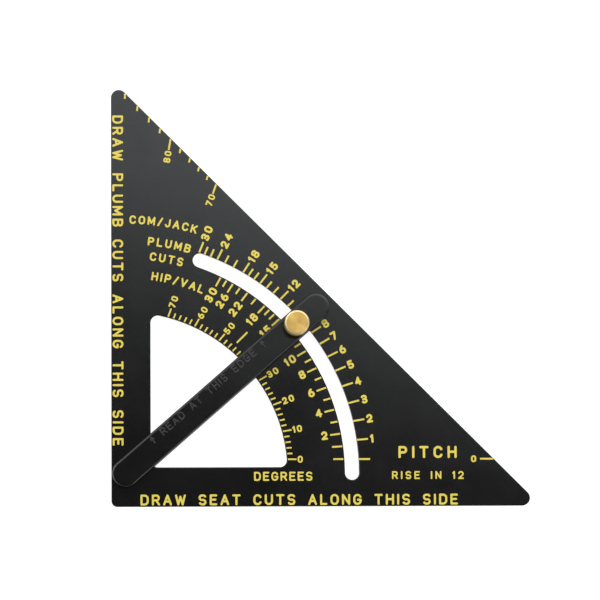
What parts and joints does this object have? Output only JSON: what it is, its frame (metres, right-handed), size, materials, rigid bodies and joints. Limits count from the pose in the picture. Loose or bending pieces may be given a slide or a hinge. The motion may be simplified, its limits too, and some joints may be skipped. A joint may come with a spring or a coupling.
{
  "type": "adjustable rafter square",
  "caption": "Triangular roofing square with printed rafter and degree scales, an arc slot, a pivoting index arm with a rear fence bar, and a brass thumb screw that locks it.",
  "frame": {"origin": "under the middle of the plate's outline, at the height of the fence bar's underside, which is what the tool lies on", "axes": "+Z out of the scale face, +X along the seat-cut edge from the right-angle corner, +Y along the plumb-cut edge; the index arm rests at 41.1 degrees above +X"},
  "size_m": [0.2032, 0.2032, 0.0262],
  "materials": {
    "plate_coating": "satin",
    "arm_coating": "satin",
    "scale_enamel": "satin",
    "brass": "satin",
    "steel": "satin"
  },
  "bodies": {
    "square": {"square_plate": "plate_coating", "common_jack_ticks": "scale_enamel", "common_jack_numerals": "scale_enamel", "hip_valley_ticks": "scale_enamel", "hip_valley_numerals": "scale_enamel", "degree_ticks": "scale_enamel", "degree_numerals": "scale_enamel", "edge_degree_ticks": "scale_enamel", "edge_degree_numerals": "scale_enamel", "seat_edge_legend": "scale_enamel", "plumb_edge_legend": "scale_enamel", "scale_captions": "scale_enamel", "pitch_label": "scale_enamel"},
    "arm": {"index_arm": "arm_coating", "fence_bar": "arm_coating", "pivot_bushing": "steel", "pivot_screw": "steel", "lock_insert": "brass"},
    "washer": {"thumb_washer": "steel"},
    "thumb_screw": {"thumb_screw": "brass"}
  },
  "joints": [
    {"name": "arm_swing", "type": "hinge", "parent": "square", "child": "arm", "pos_m": [-0.0946, -0.0854, 0], "axis": [0, 0, 1], "range_deg": [-41.1, 29.7]},
    {"name": "washer_lift", "type": "slide", "parent": "arm", "child": "washer", "axis": [0, 0, 1], "range_m": [0, 0.0026]},
    {"name": "thumb_turn", "type": "hinge", "parent": "washer", "child": "thumb_screw", "pos_m": [-0.01197, -0.01332, 0], "axis": [0, 0, 1], "range_deg": [0, 720]}
  ],
  "couplings": [
    {"joint": "washer_lift", "follows": "thumb_turn", "m_per_rad": 0.00020213}
  ]
}
